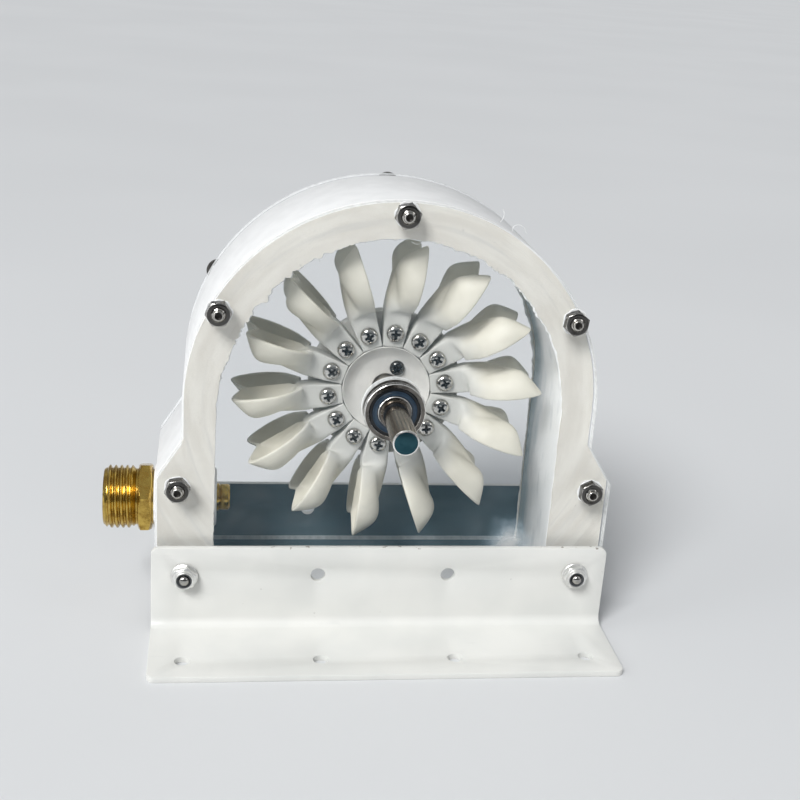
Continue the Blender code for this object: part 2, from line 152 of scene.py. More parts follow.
class Wire:
    """An output of a material's node. Arithmetic on it adds Math nodes."""

    def __init__(self, paint, socket):
        self.paint = paint
        self.socket = socket

    def math(self, operation, first, second=None):
        sockets = {0: first} if second is None else {0: first, 1: second}
        return self.paint.node("Math", {"operation": operation}, sockets)

    def __add__(self, other):
        return self.math("ADD", self, other)

    def __sub__(self, other):
        return self.math("SUBTRACT", self, other)

    def __rsub__(self, other):
        return self.math("SUBTRACT", other, self)

    def __mul__(self, other):
        return self.math("MULTIPLY", self, other)

    def __pow__(self, other):
        return self.math("POWER", self, other)

    __radd__ = __add__
    __rmul__ = __mul__

    def sine(self):
        return self.math("SINE", self)

    def between(self, low, high):
        """0 at low, 1 at high, eased, and held outside them."""
        return self.paint.node("MapRange", {"interpolation_type": "SMOOTHSTEP"},
                               {"Value": self, "From Min": low, "From Max": high})


class Weave:
    """A tree of shader nodes."""

    def __init__(self, tree):
        self.tree = tree

    def node(self, kind, settings=None, sockets=None, output=0):
        made = self.tree.nodes.new("ShaderNode" + kind)
        for key, value in (settings or {}).items():
            setattr(made, key, value)
        for key, value in (sockets or {}).items():
            self.feed(made.inputs[key], value)
        return Wire(self, made.outputs[output])

    def feed(self, socket, value):
        if isinstance(value, Wire):
            self.tree.links.new(value.socket, socket)
        elif isinstance(value, tuple) and len(value) == 3 and socket.type == "RGBA":
            socket.default_value = (*value, 1.0)
        else:
            socket.default_value = value

    def mix(self, share, first, second):
        return self.node("Mix", {"data_type": "RGBA"}, {"Factor": share, 6: first, 7: second}, 2)


class Paint(Weave):
    """A Principled material. Its patterns read Object coordinates, in metres."""

    def __init__(self, name, roughness=0.5, metallic=0.0):
        self.material = bpy.data.materials.new(name)
        self.material.use_nodes = True
        super().__init__(self.material.node_tree)
        self.shader = self.tree.nodes["Principled BSDF"]
        self.put(Roughness=roughness, Metallic=metallic)
        self.here = self.node("TexCoord", output="Object")

    def put(self, **sockets):
        for name, value in sockets.items():
            self.feed(self.shader.inputs[name.replace("_", " ")], value)

    def tint(self, share, first, second):
        self.put(Base_Color=self.mix(share, first, second))

    def axis(self, letter):
        return self.node("SeparateXYZ", None, {"Vector": self.here}, letter)

    def turning(self):
        """The angle round the wheel's axis, and the distance from it."""
        x, z = self.axis("X"), self.axis("Z") - AXIS_Z
        return x.math("ARCTAN2", x, z), (x * x + z * z) ** 0.5

    def stretched(self, x, y, z):
        return self.node("Mapping", None, {"Vector": self.here, "Scale": (x, y, z)})

    def pair(self, across, along):
        """A place in a flat pattern, from two lengths."""
        return self.node("CombineXYZ", None, {"X": across, "Y": along})

    def grain(self, size, detail=3.0, rough=0.5, where=None):
        """Noise about 0.5 with blotches of about that size in millimetres."""
        return self.node("TexNoise", None,
                         {"Vector": where or self.here, "Scale": 1 / (size*MM), "Detail": detail,
                          "Roughness": rough})

    def bump(self, height, distance, strength=1.0):
        """The surface raised by the height times a distance in millimetres."""
        self.put(Normal=self.node("Bump", None, {
            "Height": height, "Distance": distance*MM, "Strength": strength}, "Normal"))


def printed(name, light, shade, roughness, layer, handled=None):
    """Printed plastic: lines one layer apart, in millimetres, and soft blotches. A handled
    colour fades in towards the wheel's axis."""
    paint = Paint(name, roughness)
    tone = paint.grain(6, 4.0).between(0.34, 0.66)
    colour = paint.mix(tone, shade, light)
    if handled:
        reach = paint.turning()[1] + paint.grain(5) * (6*MM)
        colour = paint.mix(reach.between(28*MM, 37*MM), handled, colour)
    specks = paint.grain(1.1, 1.0).between(0.78, 0.82)
    paint.tint(specks * 0.4, colour, (0.34, 0.32, 0.28))
    ridges = (paint.axis("Y") * (math.tau / (layer*MM))).sine()
    lumps = paint.grain(1.6, 2.0)
    paint.bump(ridges * 0.22 + lumps, 0.05, 0.5)
    paint.put(Roughness=paint.grain(3) * 0.16 + (roughness - 0.08))
    return paint.material


def wall_with_painted_shade():
    """The chamber's sealed inside: white with greyer wipes near the front plate, and behind that
    a glossy, cloudy bluish grey, which is painted shade and painted reflection."""
    paint = Paint("resin_wall_painted_shade", 0.2)
    upward = paint.stretched(1.0, 1.0, 0.3)
    cloud = paint.grain(9, 4.0, 0.6, upward)
    # Painted shade and painted reflection: the wall fades to bluish grey further from the front
    # plate.
    shade_by_depth = (paint.axis("Y") + cloud * (22*MM)).between(RUNNER_Y + 16*MM, RUNNER_Y + 28*MM)
    wiped = paint.grain(5, 4.0, 0.6, upward).between(0.52, 0.72)
    white = paint.mix(wiped * 0.6, (0.92, 0.93, 0.92), (0.66, 0.69, 0.70))
    paint.tint(shade_by_depth, white, (0.36, 0.46, 0.50))
    paint.bump(paint.grain(2.5), 0.10, 0.5)
    paint.put(Roughness=cloud * 0.2 + 0.12)
    return paint.material


def clear_sheet():
    """Clear acrylic with a faint haze and rubbed smears."""
    paint = Paint("clear_acrylic", 0.04)
    haze = paint.grain(14, 4.0).between(0.42, 0.78)
    smear = paint.grain(1.4, 4.0, where=paint.stretched(0.25, 1, 1)).between(0.58, 0.72)
    across, up = paint.axis("X") - 41*MM, paint.axis("Z") - 27*MM
    reach = (across * across + up * up * 0.5) ** 0.5 + paint.grain(5, 5.0, 0.6) * (9*MM)
    front = 1 - paint.axis("Y").between(front_high.y, shell_low.y)
    wiped = (1 - reach.between(6*MM, 14*MM)) * front
    tone = paint.mix(haze, (0.42, 0.64, 0.80), (0.78, 0.86, 0.90))
    paint.tint(wiped, tone, (0.82, 0.83, 0.82))
    paint.put(Alpha=haze * 0.02 + smear * haze * 0.05 + wiped * 0.35 + 0.016)
    return paint.material


def sheet_edge():
    """The sheet's sawn and scraped edge, where it gathers light."""
    paint = Paint("acrylic_edge", 0.3)
    saw = paint.grain(1.6, 2.0, where=paint.stretched(1, 0.1, 1)).between(0.3, 0.7)
    paint.tint(saw, (0.84, 0.86, 0.86), (0.92, 0.94, 0.94))
    paint.put(Alpha=saw * 0.1 + 0.6)
    paint.bump(saw, 0.01, 0.2)
    return paint.material


def sealant():
    """Cream sealant pressed flat: broad smears, a few greyer drags and small pits."""
    paint = Paint("cream_sealant", 0.5)
    turn, radius = paint.turning()
    smear = paint.grain(5, 5.0, 0.6, paint.pair(turn * (14*MM), radius))
    drag = paint.grain(9, 4.0, 0.6, paint.pair(turn * (9*MM), radius * 2.4))
    pits = paint.grain(1.3, 1.0).between(0.74, 0.80)
    tone = paint.mix(smear.between(0.36, 0.64), (0.665, 0.635, 0.575), (0.735, 0.71, 0.65))
    tone = paint.mix(drag.between(0.52, 0.70) * 0.6, tone, (0.60, 0.585, 0.55))
    paint.tint(pits * 0.6, tone, (0.40, 0.39, 0.37))
    paint.bump(paint.grain(1.2, 4.0), 0.15, 0.5)
    return paint.material


def clouded(name, first, second, roughness, cloud, grit, rise, metallic=0.0, blur=0.15,
            strength=0.5):
    """Two tones in clouds of one size with a blurred border, over a finer grit."""
    paint = Paint(name, roughness, metallic)
    paint.tint(paint.grain(cloud).between(0.5 - blur, 0.5 + blur), first, second)
    paint.bump(paint.grain(grit), rise, strength)
    return paint.material


def powder_coat(top):
    """White powder coat: orange peel, grey rubs, scuffs, and chips along the top edge."""
    paint = Paint("white_powder_coat", 0.42)
    cloud = paint.grain(26, 3.0).between(0.35, 0.65)
    rub = paint.grain(5, 4.0, 0.6, paint.stretched(0.3, 1, 1)).between(0.64, 0.78)
    tone = paint.mix(cloud, (0.68, 0.685, 0.66), (0.735, 0.735, 0.705))
    scuff = paint.grain(2.2, 2.0).between(0.755, 0.80)
    tone = paint.mix(rub * 0.3, tone, (0.60, 0.605, 0.59))
    tone = paint.mix(scuff * 0.5, tone, (0.36, 0.35, 0.33))
    chip = paint.grain(2.4, 3.0).between(0.64, 0.68)
    chip = chip * paint.axis("Z").between(top - 0.5*MM, top - 0.2*MM)
    paint.tint(chip * 0.8, tone, (0.20, 0.17, 0.14))
    paint.bump(paint.grain(0.75, 2.0), 0.03, 0.55)
    paint.put(Roughness=paint.grain(8) * 0.14 + 0.36)
    return paint.material


def foot_face_shade():
    """The face of a foot that lies against its plate: dark bluish grey with drawn lines, painted
    shade and painted reflection.
    """
    paint = Paint("bare_slate_face", 0.45)
    paint.put(Specular_IOR_Level=0.25)
    drawn = paint.grain(1.0, 4.0, 0.6, paint.stretched(0.04, 1, 1))
    cloud = paint.grain(22, 3.0).between(0.3, 0.7)
    tone = paint.mix(cloud, (0.082, 0.138, 0.168), (0.112, 0.176, 0.206))
    paint.tint(drawn.between(0.45, 0.75) * 0.4, tone, (0.12, 0.15, 0.165))
    paint.bump(drawn, 0.03, 0.5)
    return paint.material


def metal(name, colour, dull, roughness, scratch=0.5):
    """Bright metal: fine scratches, and dull blotches where it has been handled."""
    paint = Paint(name, roughness, 1.0)
    wear_and_highlight = paint.grain(2.5, 4.0, 0.6).between(0.45, 0.72)
    paint.tint(wear_and_highlight, colour, dull)
    lines = paint.grain(0.35, 3.0, 0.6, paint.stretched(1, 0.15, 1))
    paint.bump(lines, 0.012, scratch)
    paint.put(Roughness=wear_and_highlight * 0.16 + lines * 0.08 + (roughness - 0.04))
    return paint.material


def drawn_shaft():
    """Bright drawn steel: broad pale and brown streaks, and a faint film of handling."""
    paint = Paint("drawn_shaft_steel", 0.12, 1.0)
    lengthwise = paint.stretched(1, 0.01, 1)
    streak = paint.grain(3, 1.0, 0.5, lengthwise).between(0.40, 0.60)
    film = paint.grain(4, 3.0, 0.5, paint.stretched(1, 0.4, 1)).between(0.45, 0.7)
    tone = paint.mix(streak, (0.21, 0.18, 0.155), (0.36, 0.33, 0.295))
    paint.tint(film * 0.4, tone, (0.16, 0.135, 0.115))
    paint.put(Roughness=film * 0.06 + 0.22)
    return paint.material


def brass():
    """Turned brass: gold with blotches of brown tarnish, a few darker spots, and fine turning
    lines.
    """
    paint = Paint("turned_brass", 0.25, 1.0)
    tarnish = paint.grain(3.2, 5.0, 0.65).between(0.38, 0.68)
    gold = paint.mix(tarnish, (0.60, 0.42, 0.105), (0.33, 0.205, 0.045))
    spots = paint.grain(0.9, 2.0).between(0.64, 0.76)
    paint.tint(spots * 0.25, gold, (0.24, 0.14, 0.05))
    turning = (paint.axis("X") * (math.tau / (0.22*MM))).sine()
    paint.bump(turning * 0.2 + paint.grain(0.6), 0.025, 0.6)
    paint.put(Roughness=tarnish * 0.14 + 0.15)
    return paint.material


def floor_paint():
    """Plain pale paint with a slow drift of tone."""
    paint = Paint("pale_floor", 0.6)
    tone = paint.grain(350, 2.0).between(0.3, 0.7)
    paint.tint(tone, (0.66, 0.67, 0.68), (0.68, 0.69, 0.70))
    return paint.material


def placed(name, data):
    """A new object in the scene."""
    made = bpy.data.objects.new(name, data)
    bpy.context.scene.collection.objects.link(made)
    return made


def mesh_of(bm, name):
    """The bmesh as a mesh, its normals outward; the bmesh is used up."""
    bmesh.ops.recalc_face_normals(bm, faces=bm.faces)
    mesh = bpy.data.meshes.new(name)
    bm.to_mesh(mesh)
    bm.free()
    return mesh


def piece(name, bm, materials, nodes=(), crease=35.0, body="casing"):
    """Turns a bmesh into a smooth-shaded piece that rides on a body."""
    mesh = mesh_of(bm, name) if isinstance(bm, bmesh.types.BMesh) else bm
    for material in materials:
        mesh.materials.append(material)
    mesh.shade_smooth()
    mesh.set_sharp_from_angle(angle=math.radians(crease))
    made = placed(name, mesh)
    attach(made, body)
    if nodes:
        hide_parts(*nodes)
    return made


def settled(shape, *modifiers):
    """The mesh of a shape or curve after the modifiers, given as (type, settings)."""
    holder = placed("holder", shape)
    for kind, settings in modifiers:
        change = holder.modifiers.new(kind.lower(), kind)
        for key, value in settings.items():
            setattr(change, key, value)
    graph = bpy.context.evaluated_depsgraph_get()
    result = bpy.data.meshes.new_from_object(holder.evaluated_get(graph), depsgraph=graph)
    bpy.data.objects.remove(holder, do_unlink=True)
    return result


def cut_out(mesh, *tools):
    """The mesh with the tools' shapes cut out of it."""
    cutters = [placed("cutter", mesh_of(tool, "cutter")) for tool in tools]
    result = settled(mesh, *[("BOOLEAN", {"operation": "DIFFERENCE", "solver": "EXACT",
                                          "object": cutter}) for cutter in cutters])
    for cutter in cutters:
        bpy.data.objects.remove(cutter, do_unlink=True)
    return result


def facing(centre, direction, spin=0.0):
    """The matrix that stands a +Z shape at centre along direction, turned by spin."""
    turn = Vector((0, 0, 1)).rotation_difference(Vector(direction)).to_matrix().to_4x4()
    return Matrix.Translation(centre) @ turn @ Matrix.Rotation(spin, 4, "Z")


def onto_axis(bm, centre, direction, spin=0.0):
    """Moves what was built along +Z as facing says."""
    bmesh.ops.transform(bm, matrix=facing(centre, direction, spin), verts=bm.verts)
    return bm


def round_axis(degrees, radius, y):
    """A place at an angle and a distance from the wheel's axis."""
    turn = math.radians(degrees)
    return Vector((radius * math.cos(turn), y, AXIS_Z + radius * math.sin(turn)))


def give_materials(bm, choose):
    """Each face gets the material whose number choose(face, its centre) gives."""
    for face in bm.faces:
        face.material_index = choose(face, face.calc_center_median())


def spun(profile, steps=48, closed=True):
    """A (radius, height) outline turned about +Z; an open one starts and ends on it."""
    bm = bmesh.new()
    chain = [bm.verts.new((radius, 0, height)) for radius, height in profile]
    edges = [bm.edges.new(pair) for pair in zip(chain, chain[1:])]
    if closed:
        edges.append(bm.edges.new((chain[-1], chain[0])))
    bmesh.ops.spin(bm, geom=chain + edges, axis=(0, 0, 1), cent=(0, 0, 0), dvec=(0, 0, 0),
                   angle=math.tau, steps=steps, use_merge=True, use_duplicate=False)
    bmesh.ops.remove_doubles(bm, verts=bm.verts, dist=1e-7)
    return bm


def rod(radius, length, steps=24):
    """A plain cylinder standing on z = 0."""
    return spun([(0, 0), (radius, 0), (radius, length), (0, length)], steps, False)


def join(*parts):
    """One bmesh of several."""
    whole = bmesh.new()
    for part in parts:
        mesh = bpy.data.meshes.new("part")
        part.to_mesh(mesh)
        part.free()
        whole.from_mesh(mesh)
        bpy.data.meshes.remove(mesh)
    return whole


def bevel_sharp(bm, offset, segments=2, angle=60.0):
    """Rounds every edge that turns by more than the angle."""
    sharp = [edge for edge in bm.edges
             if len(edge.link_faces) == 2 and edge.calc_face_angle() > math.radians(angle)]
    bmesh.ops.bevel(bm, geom=sharp, offset=offset, segments=segments, profile=0.5,
                    affect="EDGES", material=-1)


def outline_loop(bm, points, flat):
    """A closed loop of edges; flat says where an (a, b) point lies."""
    ring = [bm.verts.new(flat(a, b)) for a, b in points]
    return [bm.edges.new(pair) for pair in zip(ring, ring[1:] + ring[:1])]


def circle_points(centre, radius, steps=32):
    """A circle's points, in the plane of what it is cut from."""
    return [(centre[0] + radius * math.cos(math.tau * step / steps),
             centre[1] + radius * math.sin(math.tau * step / steps)) for step in range(steps)]


def flat_face(loops, flat):
    """A flat face bounded by the loops, holes and all."""
    bm = bmesh.new()
    edges = [edge for loop in loops for edge in outline_loop(bm, loop, flat)]
    bmesh.ops.triangle_fill(bm, use_beauty=True, use_dissolve=False, edges=edges)
    return bm


def thicken(bm, push):
    """Pushes a flat face out to a thickness."""
    moved = bmesh.ops.extrude_face_region(bm, geom=list(bm.faces))
    top = [item for item in moved["geom"] if isinstance(item, bmesh.types.BMVert)]
    bmesh.ops.translate(bm, verts=top, vec=push)
    bmesh.ops.recalc_face_normals(bm, faces=bm.faces)
    return bm


def bisect(bm, place, way, clear=False):
    """Cuts all faces along a plane, and can clear what lies beyond it."""
    bmesh.ops.bisect_plane(bm, geom=bm.verts[:] + bm.edges[:] + bm.faces[:], dist=1e-7,
                           plane_co=place, plane_no=way, clear_outer=clear)


def circle_arc(radius):
    """The upper half of a circle round the wheel's axis, from right to left."""
    turns = [math.pi * step / ARCH_STEPS for step in range(ARCH_STEPS + 1)]
    return [(radius * math.cos(turn), AXIS_Z + radius * math.sin(turn)) for turn in turns]


def casing_outline(inset=0.0, wobble=0.0):
    """The front view of the casing as (x, z), pulled in by inset, its edge uneven by wobble."""
    half = BASE_HALF - inset
    radius = ARCH_R - inset
    corners = [(half, CASING_BOTTOM + inset), (half, AXIS_Z - SHOULDER_LOW + inset * 0.5),
               (radius, AXIS_Z - SHOULDER_TOP + inset * 0.5)]
    points = corners + circle_arc(radius) + [(-x, z) for x, z in reversed(corners)]
    return [(x - wobble * (0.5 + noise.noise(Vector((x, z, 0)) / (4*MM))) * x / BASE_HALF, z)
            for x, z in points]


def bolt_centres():
    """Node name and (x, z) of every through bolt."""
    names = ["bolt_top"] + [kind + side for kind in ("bolt_", "bolt_lower_", "foot_bolt_")
                            for side in ("left", "right")]
    places = {}
    for name in names:
        low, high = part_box(name)
        places[name] = ((low.x + high.x) / 2, (low.z + high.z) / 2)
    return places


def chamber_edge(front):
    """The sealant's torn inner border, from the lower right over the arch to the lower left.

    The front bead is torn most at the upper left, where the wheel was fitted through it."""
    points = []
    step = 0.55*MM
    down = [CASING_BOTTOM + 0.4*MM + step * index
            for index in range(int((AXIS_Z - CASING_BOTTOM) / step))]
    seed = 0.0 if front else 37.0

    def rough(x, z, fine, coarse):
        where = Vector((x, z, seed*MM))
        teeth = 0.35 - abs(noise.noise(where / (1.9*MM))) * 2.2
        return coarse * noise.noise(where / (5.5*MM)) + fine * teeth

    for z in down:
        points.append((CHAMBER_R - 0.25*MM - rough(CHAMBER_R, z, 0.15*MM, 0.25*MM), z))
    count = int(math.pi * CHAMBER_R / step)
    for index in range(count + 1):
        turn = math.pi * index / count
        degrees = math.degrees(turn)
        torn = max(0.0, 1 - ((degrees - 136) / 37) ** 2) if front else 0.15
        waves = max(0.0, 1 - ((degrees - 52) / 36) ** 2) if front else 0.1
        x, z = math.cos(turn) * CHAMBER_R, AXIS_Z + math.sin(turn) * CHAMBER_R
        squeeze = 0.35*MM + (1.25*MM if front else 0.2*MM) * math.sin(turn) ** 0.5
        fine = (0.12 + 0.75 * torn + 0.5 * waves)*MM
        coarse = (0.25 + 0.95 * torn + 1.0 * waves)*MM
        radius = CHAMBER_R - squeeze - 0.6*MM * torn + rough(x, z, fine, coarse)
        points.append((radius * math.cos(turn), AXIS_Z + radius * math.sin(turn)))
    for z in reversed(down):
        points.append((-CHAMBER_R + 0.3*MM + rough(-CHAMBER_R, z, 0.2*MM, 0.35*MM), z))
    return points


def strand(name, points, radius, material, uneven=0.0, thin_below=0.0):
    """A thin round strand through points, its thickness uneven, and less below a height."""
    curve = bpy.data.curves.new(name, "CURVE")
    curve.dimensions = "3D"
    curve.bevel_depth = radius
    curve.bevel_resolution = 2
    curve.use_fill_caps = True
    spline = curve.splines.new("POLY")
    spline.points.add(len(points) - 1)
    for point, place in zip(spline.points, points):
        point.co = (*place, 1.0)
        full = min(1.0, max(0.3, 1 - (thin_below - place[2]) / (25*MM)))
        point.radius = full * (1 + uneven * noise.noise(Vector(place) / (2.2*MM)))
    piece(name, settled(curve), [material], crease=80.0)


def build_shell(white, shaded_inside):
    """The casing's arched wall with the holes for bolts and inlet through it."""
    bm = bmesh.new()
    points = (casing_outline() + [(-CHAMBER_R, CASING_BOTTOM)] + circle_arc(CHAMBER_R)[::-1]
              + [(CHAMBER_R, CASING_BOTTOM)])
    loop = outline_loop(bm, points, lambda x, z: (x, shell_low.y, z))
    bmesh.ops.contextual_create(bm, geom=loop)
    thicken(bm, (0, shell_high.y - shell_low.y, 0))
    bevel_sharp(bm, 0.3*MM)

    def inside(face, at):
        out = math.hypot(at.x, max(0.0, at.z - AXIS_Z))
        return 1 if abs(face.normal.y) < 0.5 and out < CHAMBER_R + 0.8*MM else 0

    # Chamber faces take the wall whose bluish grey further back is painted shade and painted
    # reflection.
    give_materials(bm, inside)
    mesh = mesh_of(bm, "casing_wall")
    rods = [onto_axis(rod(HOLE_R, 60*MM), (x, front_low.y, z), BACK)
            for x, z in bolt_centres().values()]
    bore = onto_axis(rod(SPIGOT_R + 0.2*MM, 26*MM, 48),
                     (-BASE_HALF - 2*MM, RUNNER_Y, INLET_Z), INWARD)
    piece("casing_wall", cut_out(mesh, join(*rods, bore)), [white, shaded_inside],
          ["housing_shell"])


def build_plate(name, node, start, clear, edge):
    """A clear sheet with its holes; the sawn border and the holes' walls are frosted."""
    holes = [circle_points(place, HOLE_R) for place in bolt_centres().values()]
    seat = circle_points((0, AXIS_Z), BEARING_SEAT_R, 64)
    bm = thicken(flat_face([casing_outline(), seat] + holes, lambda x, z: (x, start, z)),
                 (0, PLATE_T, 0))
    bevel_sharp(bm, 0.12*MM, 1)
    give_materials(bm, lambda face, at: 0 if abs(face.normal.y) > 0.9 else 1)
    made = piece(name, bm, [clear, edge], [node], crease=25.0)
    made.visible_shadow = False


def build_sealant(name, node, start, depth, front, cream, lip):
    """The flattened bead between plate and wall, and the skin along its torn edge."""
    inner = chamber_edge(front)
    border = casing_outline(0.45*MM, 0.3*MM)
    holes = [circle_points(place, HOLE_R) for place in bolt_centres().values()]
    bm = thicken(flat_face([border + inner[::-1]] + holes, lambda x, z: (x, start, z)),
                 (0, depth, 0))
    piece(name, bm, [cream], [node], crease=50.0)
    skin_y = start + (depth - 0.35*MM if front else 0.35*MM)
    strand(name + "_skin", [(x, skin_y, z) for x, z in inner], 0.42*MM, lip, 0.8, AXIS_Z + 10*MM)


def build_foot(name, node, face_y, side, coat, bare):
    """An angle bent from a flat blank: holes and corners are cut before the bend."""
    low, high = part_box(node)
    half = high.x
    bend_out = BEND_R + FOOT_T
    arc = math.pi / 2 * (BEND_R + FOOT_T / 2)
    flange = (high.y - low.y) - bend_out
    upright = high.z - bend_out
    length = flange + arc + upright
    corners = [(half, 0, 1, 1), (half, length, 1, -1), (-half, length, -1, -1), (-half, 0, -1, 1)]
    outline = []
    for index, (x, s, out_x, out_s) in enumerate(corners):
        centre = (x - out_x * FOOT_CORNER_R, s + out_s * FOOT_CORNER_R)
        for step in range(9):
            turn = math.pi / 2 * (index - 1 + step / 8)
            outline.append((centre[0] + FOOT_CORNER_R * math.cos(turn),
                            centre[1] + FOOT_CORNER_R * math.sin(turn)))
    flat_hole = flange + bend_out - FOOT_HOLE_OUT
    upright_hole = flange + arc + (AXIS_Z - FOOT_HOLE_DOWN) - bend_out
    holes = [circle_points((x, s), HOLE_R) for x in FOOT_HOLES_X for s in (flat_hole, upright_hole)]
    bm = flat_face([outline] + holes, lambda x, s: (x, s, 0))
    for step in range(13):
        bisect(bm, (0, flange + arc * step / 12, 0), (0, 1, 0))
    thicken(bm, (0, 0, FOOT_T))
    bevel_sharp(bm, 0.25*MM)
    # The upright's face against the plate takes material 1, dark as painted shade and painted
    # reflection.
    give_materials(bm, lambda face, at: 1 if at.z < SLIVER and at.y > flange + arc else 0)
    for vert in bm.verts:
        x, s, depth = vert.co
        turn = min(1.0, max(0.0, (s - flange) / arc)) * math.pi / 2
        out = bend_out - (bend_out - depth) * math.sin(turn)
        rise = bend_out - (bend_out - depth) * math.cos(turn)
        if s < flange:
            out = bend_out + flange - s
        elif s > flange + arc:
            rise = bend_out + s - flange - arc
        vert.co = (x, face_y + side * out, rise)
    piece(name, bm, [coat, bare], [node], crease=40.0)


def draw_in(bm, limit):
    """Holds every point within limit(point) of the Z axis."""
    for vert in bm.verts:
        radius, most = math.hypot(vert.co.x, vert.co.y), limit(vert.co)
        if radius > most:
            vert.co.xy *= most / radius


def to_hexagon(bm, flats):
    """Cuts a turned shape's flank down to a hexagon with a corner at angle 0."""
    sixth = math.pi / 3
    draw_in(bm, lambda at: flats / 2 / math.cos(math.atan2(at.y, at.x) % sixth - sixth / 2))


def nut(flats, thick, bore):
    """A hexagon nut standing on z = 0, chamfered at both ends."""
    corner = flats / math.sqrt(3)
    ring = flats / 2 * 0.97
    drop = (corner - ring) * 0.5
    chamfer = [(ring + (corner - ring) * share, thick - drop * share) for share in
               (0.0, 0.12, 0.25, 0.4, 0.6, 0.8, 1.0)]
    foot = [(radius, thick - height) for radius, height in reversed(chamfer)]
    mouth = 0.35*MM
    bm = spun([(bore, mouth), (bore, thick - mouth), (bore + mouth, thick)] + chamfer + foot
              + [(bore + mouth, 0)], 72)
    to_hexagon(bm, flats)
    return bm


def bolt_end(tip, radius, dome=0.55*MM, pitted=False):
    """A thread's end as rings, from z = 0 up to a domed or a pitted tip."""
    profile = [(0, 0), (radius - 0.35*MM, 0)]
    height = 0.0
    while height + THREAD_PITCH < tip - dome:
        profile += [(radius - 0.35*MM, height + 0.1 * THREAD_PITCH),
                    (radius, height + 0.42 * THREAD_PITCH), (radius, height + 0.58 * THREAD_PITCH),
                    (radius - 0.35*MM, height + 0.9 * THREAD_PITCH)]
        height += THREAD_PITCH
    reach = radius - 0.3*MM
    if pitted:
        profile += [(reach, tip - dome), (reach - 0.12*MM, tip - 0.2*MM),
                    (reach - 0.35*MM, tip - 0.02*MM), (reach - 0.55*MM, tip),
                    (reach - 0.68*MM, tip - 0.12*MM), (0, tip - 0.75*MM)]
        return spun(profile, 40, False)
    for step in range(1, 8):
        turn = math.pi / 2 * step / 7
        profile.append((reach * math.cos(turn) if step < 7 else 0,
                        tip - dome + dome * math.sin(turn)))
    return spun(profile, 40, False)


def screw_mesh(radius, thick, dome):
    """A pan head standing on z = 0 with its cross recess cut: material 1 in the recess,
    2 on the flank."""
    edge = thick - dome
    profile = [(0, 0), (radius - 0.15*MM, 0), (radius, 0.15*MM), (radius, edge * 0.75)]
    for step in range(1, 9):
        turn = math.pi / 2 * step / 8
        profile.append((radius * math.cos(turn) ** 0.75 if step < 8 else 0,
                        edge * 0.75 + (thick - edge * 0.75) * math.sin(turn)))
    head = mesh_of(spun(profile, 48, False), "pan_head")
    arms = []
    for turn in (0, math.pi / 2):
        bm = bmesh.new()
        bmesh.ops.create_cube(bm, size=1.0)
        bmesh.ops.scale(bm, verts=bm.verts, vec=(radius * 1.36, radius * 0.36, thick))
        bmesh.ops.translate(bm, verts=bm.verts, vec=(0, 0, thick * 1.02))
        low = [vert for vert in bm.verts if vert.co.z < thick]
        bmesh.ops.scale(bm, verts=low, vec=(0.62, 0.8, 1.0))
        bmesh.ops.rotate(bm, verts=bm.verts, cent=(0, 0, 0), matrix=Matrix.Rotation(turn, 3, "Z"))
        arms.append(bm)
    pit = spun([(0, thick * 0.35), (radius * 0.22, thick * 0.5), (radius * 0.36, thick * 1.5),
                (0, thick * 1.5)], 24, False)
    result = cut_out(head, *arms, pit)
    for face in result.polygons:
        out = min(1.0, math.hypot(face.center.x, face.center.y) / radius)
        skin = edge * 0.75 + (thick - edge * 0.75) * (1 - out ** (8 / 3)) ** 0.5
        sunk = SLIVER < face.center.z < skin - 0.06*MM and out < 0.8
        face.material_index = 1 if sunk else 2 if face.center.z < edge * 0.75 else 0
    return result


def copies(mesh, places):
    """One bmesh with the mesh repeated at each matrix."""
    whole = bmesh.new()
    for place in places:
        moved = mesh.copy()
        moved.transform(place)
        whole.from_mesh(moved)
        bpy.data.meshes.remove(moved)
    return whole


def washer():
    """The flat collar under a locking nut."""
    return spun([(2.2*MM, 0), (4.15*MM, 0), (4.3*MM, 0.15*MM), (4.3*MM, 0.45*MM),
                 (4.15*MM, 0.6*MM), (2.2*MM, 0.6*MM)], 56)


def lock_collar():
    """The rounded crown of a locking nut, open above for its ring."""
    crown = NUT_T + 0.55*MM
    return spun([(2.1*MM, 2.2*MM), (3.15*MM, 2.2*MM), (3.15*MM, crown - 0.5*MM),
                 (3*MM, crown - 0.15*MM), (2.75*MM, crown), (2.5*MM, crown - 0.1*MM),
                 (2.5*MM, crown - 0.45*MM), (2.1*MM, crown - 0.45*MM)], 48)


